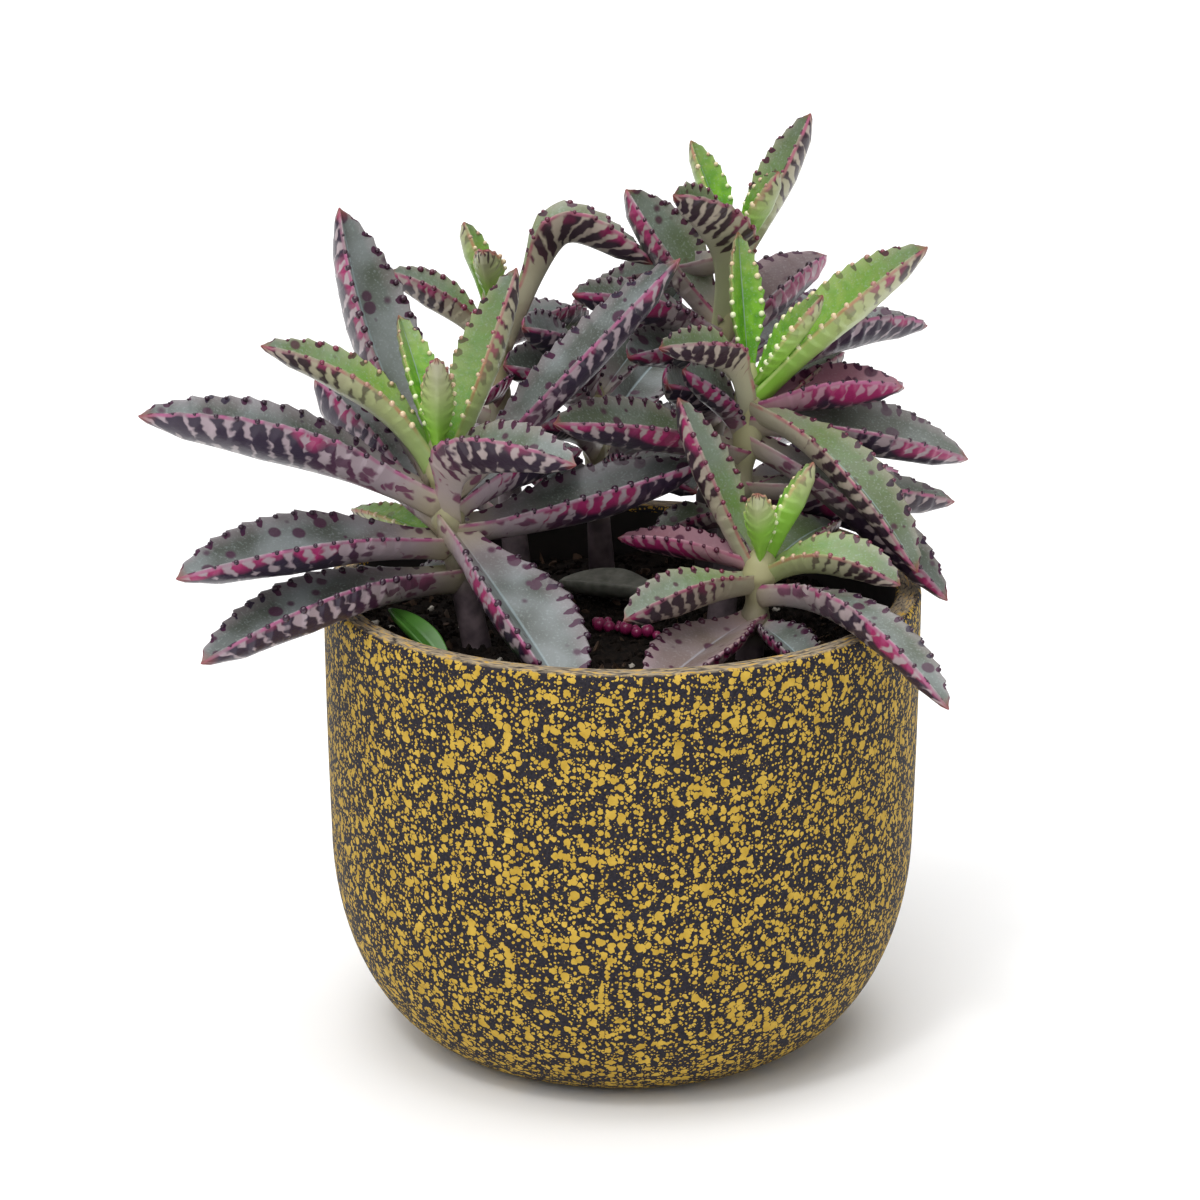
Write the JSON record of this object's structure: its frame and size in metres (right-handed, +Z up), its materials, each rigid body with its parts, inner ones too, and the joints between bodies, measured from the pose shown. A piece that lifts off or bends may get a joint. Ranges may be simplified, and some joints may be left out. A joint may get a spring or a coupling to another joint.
{
  "type": "potted pink butterflies kalanchoe",
  "caption": "Potted succulent with leafy shoots of toothed, keeled leaves that carry plantlet beads, in a round-bottomed ceramic pot of soil.",
  "frame": {"origin": "centre of the flat foot of the pot, on the face it stands on", "axes": "+Z up, -Y towards the side that the picture shows, +X to the right in the picture"},
  "size_m": [0.1633, 0.1462, 0.1841],
  "materials": {
    "speckled_ceramic": "satin",
    "potting_mix": "rough",
    "old_leaf": "waxy satin",
    "young_leaf": "waxy satin",
    "dry_leaf": "matt"
  },
  "bodies": {
    "root": {"pot": "speckled_ceramic", "soil": "potting_mix", "shoot_left": "old_leaf", "shoot_right": "old_leaf", "shoot_back": "old_leaf", "shoot_back_left": "old_leaf", "shoot_front": "old_leaf", "shoot_rear": "old_leaf", "seedling": "young_leaf", "shed_leaf": "dry_leaf"}
  },
  "joints": []
}
